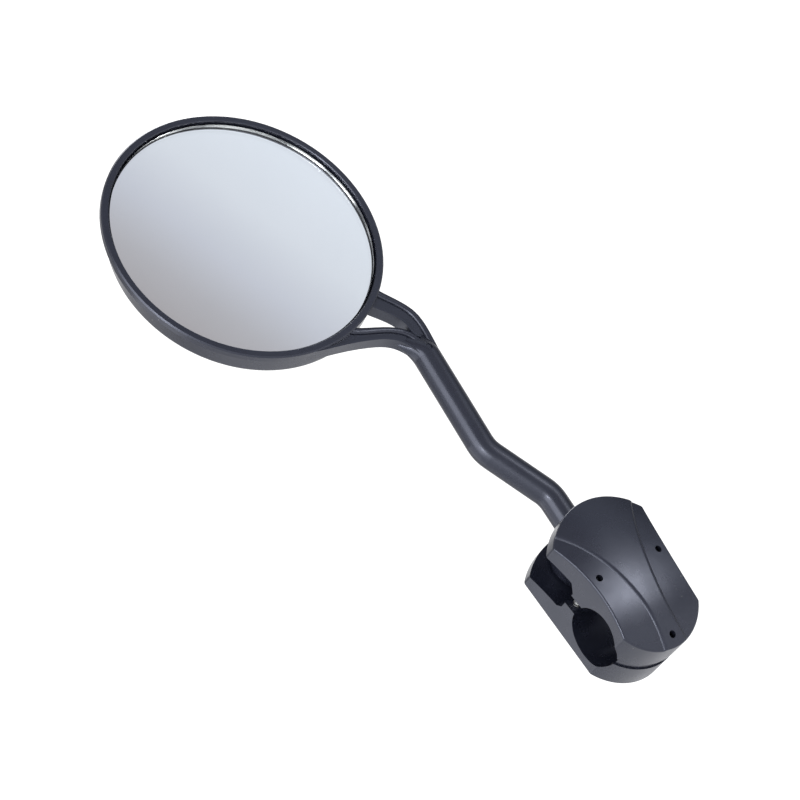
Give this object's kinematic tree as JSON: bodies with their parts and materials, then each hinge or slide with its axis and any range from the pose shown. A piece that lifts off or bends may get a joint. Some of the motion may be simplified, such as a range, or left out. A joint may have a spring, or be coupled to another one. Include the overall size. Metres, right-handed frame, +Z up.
{
  "type": "motorcycle mirror",
  "caption": "Round convex mirror in a moulded cup on a forked, bent arm that folds in the slot of a split handlebar clamp.",
  "frame": {"origin": "middle of the bar bore in the clamp", "axes": "+X along the bar, +Y away from the rider, +Z up from the bar towards the mirror"},
  "size_m": [0.1242, 0.0368, 0.2614],
  "materials": {
    "moulding": "satin",
    "screw": "satin",
    "mirror": "polished",
    "pad": "matte"
  },
  "bodies": {
    "clamp": {"clamp_front": "moulding", "clamp_back": "moulding", "clamp_screws": "screw"},
    "arm": {"mirror_arm": "moulding", "mirror_glass": "mirror", "glass_pad": "pad"}
  },
  "joints": [
    {"name": "arm_fold", "type": "hinge", "parent": "clamp", "child": "arm", "pos_m": [0, -0.001, 0.028], "axis": [0, 1, 0], "range_deg": [-90, 90]}
  ]
}
